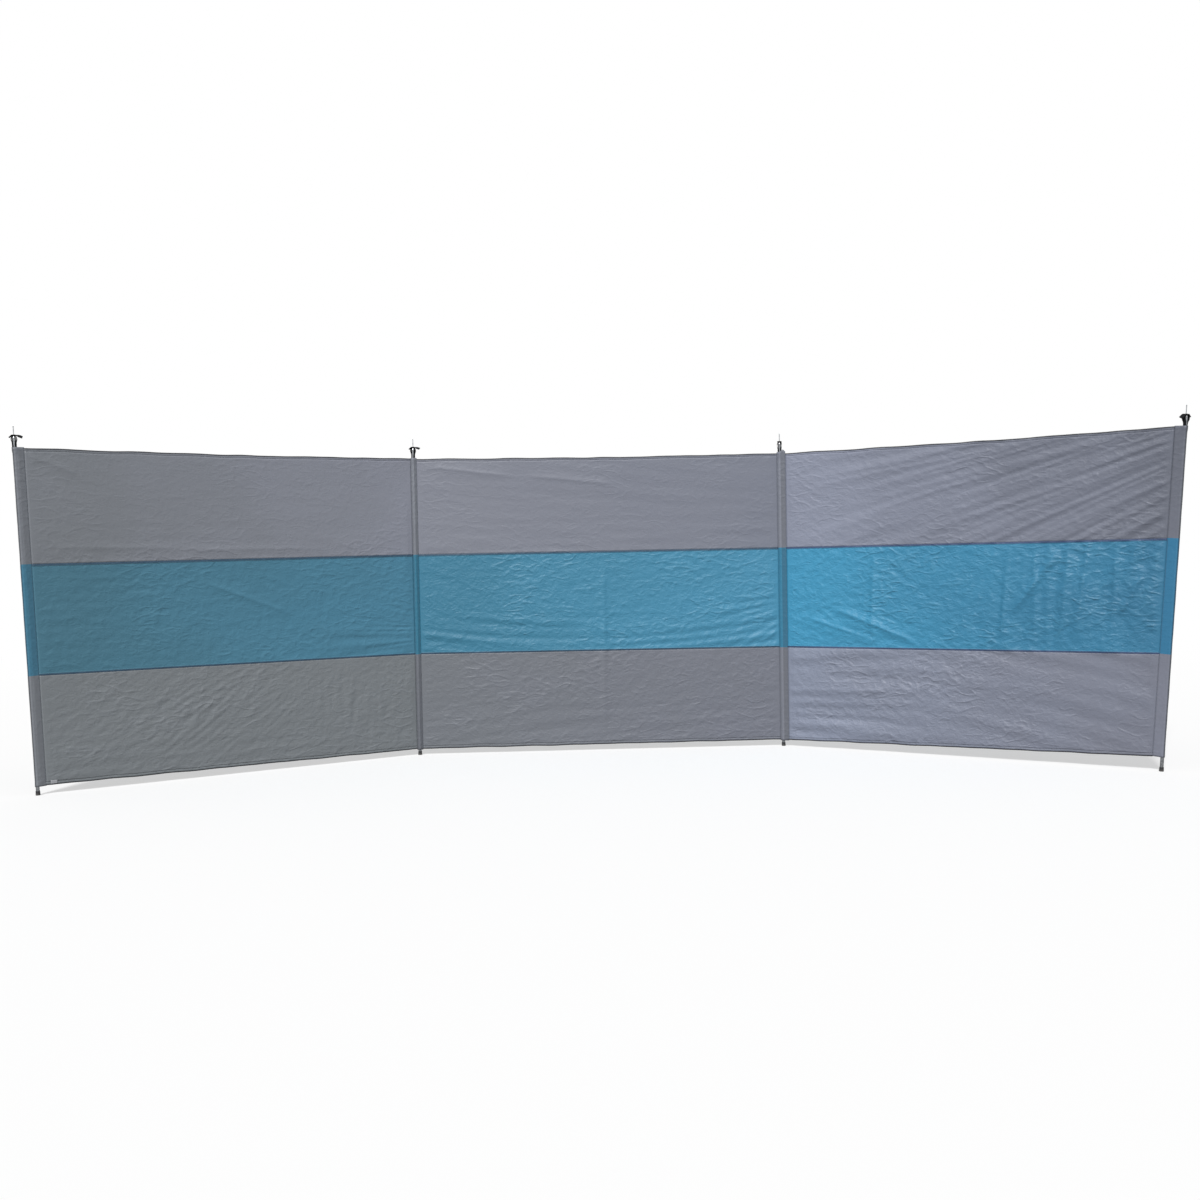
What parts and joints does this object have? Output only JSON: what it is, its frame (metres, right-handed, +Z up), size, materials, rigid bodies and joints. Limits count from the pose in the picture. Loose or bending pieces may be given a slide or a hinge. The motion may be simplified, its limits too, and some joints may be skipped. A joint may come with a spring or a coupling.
{
  "type": "beach windbreak",
  "caption": "Beach windbreak of grey and blue striped cloth on steel poles, its outer bays folded forward.",
  "frame": {"origin": "on the ground, in the middle of the footprint's box", "axes": "+X along the middle bay to the right seen from the front, +Y to the back, +Z up"},
  "size_m": [4.5502, 1.0372, 1.4348],
  "materials": {
    "pole_steel": "satin",
    "spike_steel": "satin",
    "eyelet_metal": "satin",
    "cap_plastic": "matte",
    "black_webbing": "woven",
    "grey_cloth": "woven, slight sheen",
    "blue_cloth": "woven, slight sheen"
  },
  "bodies": {
    "middle_bay": {"left_inner_pole": "pole_steel", "left_inner_foot_cap": "cap_plastic", "left_inner_spike": "spike_steel", "left_inner_strap": "black_webbing", "left_inner_pull_tab": "black_webbing", "left_inner_eyelet": "eyelet_metal", "left_inner_sleeve": "grey_cloth", "right_inner_pole": "pole_steel", "right_inner_foot_cap": "cap_plastic", "right_inner_spike": "spike_steel", "right_inner_strap": "black_webbing", "right_inner_pull_tab": "black_webbing", "right_inner_eyelet": "eyelet_metal", "right_inner_sleeve": "grey_cloth", "middle_bottom_hem": "grey_cloth", "middle_bottom_stripe": "grey_cloth", "middle_middle_stripe": "blue_cloth", "middle_top_stripe": "grey_cloth", "middle_top_hem": "grey_cloth"},
    "left_bay": {"left_end_pole": "pole_steel", "left_end_foot_cap": "cap_plastic", "left_end_spike": "spike_steel", "left_end_strap": "black_webbing", "left_end_pull_tab": "black_webbing", "left_end_eyelet": "eyelet_metal", "left_end_sleeve": "grey_cloth", "left_bottom_hem": "grey_cloth", "left_bottom_stripe": "grey_cloth", "left_middle_stripe": "blue_cloth", "left_top_stripe": "grey_cloth", "left_top_hem": "grey_cloth"},
    "right_bay": {"right_end_pole": "pole_steel", "right_end_foot_cap": "cap_plastic", "right_end_spike": "spike_steel", "right_end_strap": "black_webbing", "right_end_pull_tab": "black_webbing", "right_end_eyelet": "eyelet_metal", "right_end_sleeve": "grey_cloth", "right_bottom_hem": "grey_cloth", "right_bottom_stripe": "grey_cloth", "right_middle_stripe": "blue_cloth", "right_top_stripe": "grey_cloth", "right_top_hem": "grey_cloth"}
  },
  "joints": [
    {"name": "left_fold", "type": "hinge", "parent": "middle_bay", "child": "left_bay", "pos_m": [-0.81551, 0.48351, 0.7], "axis": [0, 0, 1], "range_deg": [-140, 80]},
    {"name": "right_fold", "type": "hinge", "parent": "middle_bay", "child": "right_bay", "pos_m": [0.85149, 0.48351, 0.7], "axis": [0, 0, -1], "range_deg": [-145, 75]}
  ]
}
